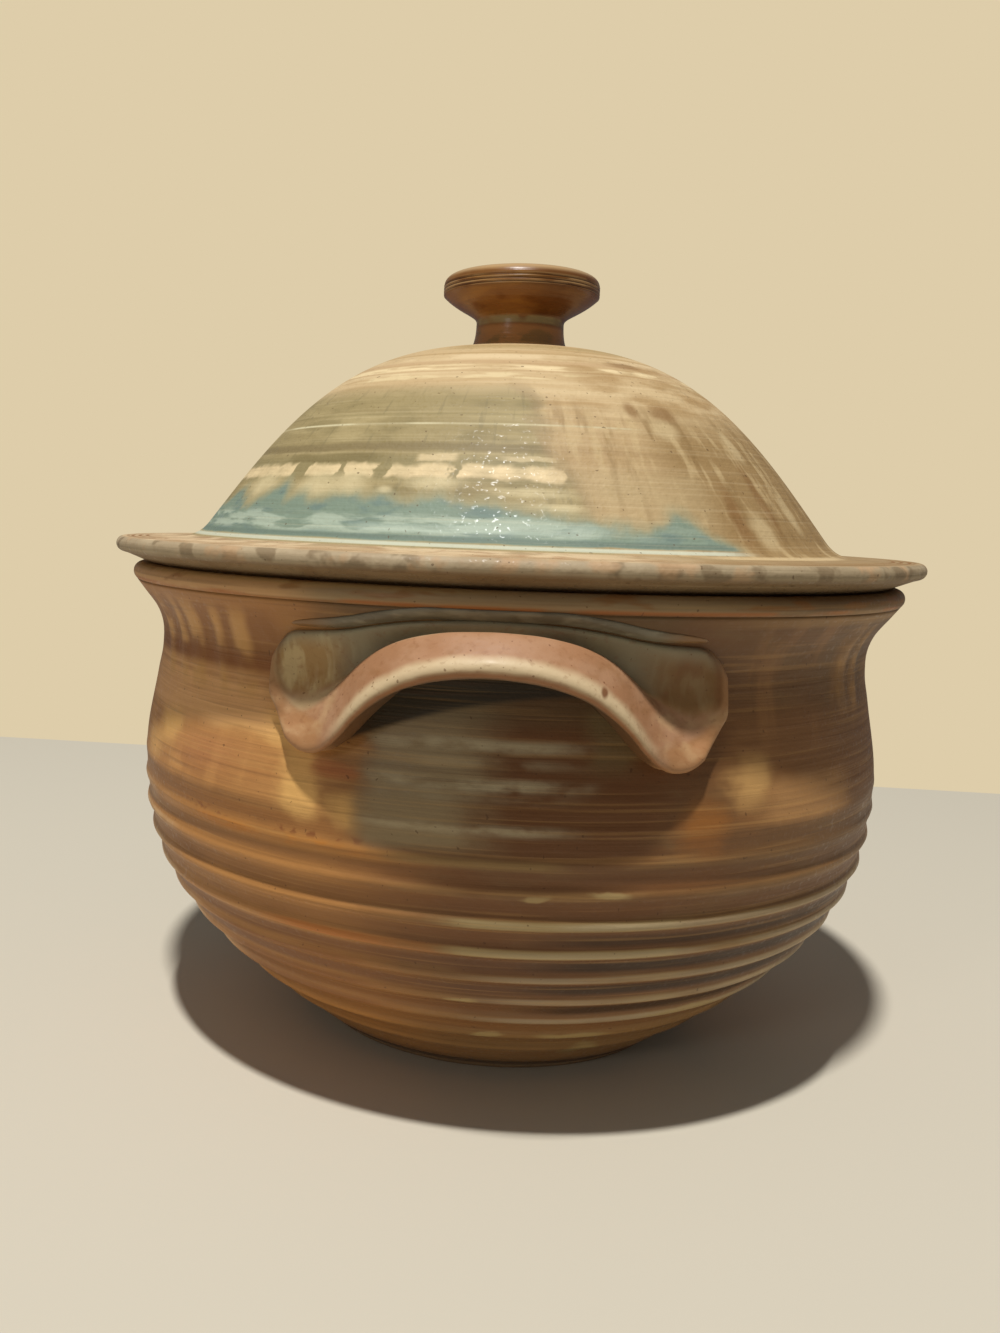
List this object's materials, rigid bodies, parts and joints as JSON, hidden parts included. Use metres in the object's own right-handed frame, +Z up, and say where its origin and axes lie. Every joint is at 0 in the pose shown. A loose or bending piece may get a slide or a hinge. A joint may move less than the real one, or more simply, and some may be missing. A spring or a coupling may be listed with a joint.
{
  "type": "steamer pot",
  "caption": "Round stoneware steamer pot: ridged belly, two dished grip handles, domed lift-off lid with a wide brim and knob, and a pierced steaming tray that lifts out.",
  "frame": {"origin": "centre of the foot ring, on the table", "axes": "+Z up along the pot's axis of turning; -Y towards the front handle; +X to the right seen from the front"},
  "size_m": [0.28, 0.2968, 0.2651],
  "materials": {
    "pot_glaze": "satin ash glaze over iron-bearing stoneware, rust brown with grey-green and cream breaks on the throwing ridges",
    "bare_foot": "unglazed fired stoneware, sanded smooth",
    "liner_glaze": "satin brown liner glaze",
    "handle_glaze": "satin pink-tan glaze that breaks to cream on the edges",
    "welt_glaze": "satin grey-olive glaze",
    "lid_glaze": "satin layered glaze: tan crown, olive and cream bands, blue-green at the foot of the dome",
    "bare_collar": "unglazed fired stoneware",
    "knob_glaze": "glossy amber-brown glaze with an olive break on the rim of the cap",
    "tray_glaze": "satin brown liner glaze"
  },
  "bodies": {
    "pot": {"pot_body": "pot_glaze", "foot_ring": "bare_foot", "tray_ledge": "liner_glaze", "front_handle": "handle_glaze", "front_handle_welt": "welt_glaze", "rear_handle": "handle_glaze", "rear_handle_welt": "welt_glaze"},
    "lid": {"lid_dome": "lid_glaze", "lid_collar": "bare_collar", "lid_knob": "knob_glaze"},
    "tray": {"steaming_tray": "tray_glaze"}
  },
  "joints": [
    {"name": "lid_lift", "type": "slide", "parent": "pot", "child": "lid", "axis": [0, 0, 1], "range_m": [0, 0.12]},
    {"name": "tray_lift", "type": "slide", "parent": "pot", "child": "tray", "axis": [0, 0, 1], "range_m": [0, 0.07]}
  ]
}
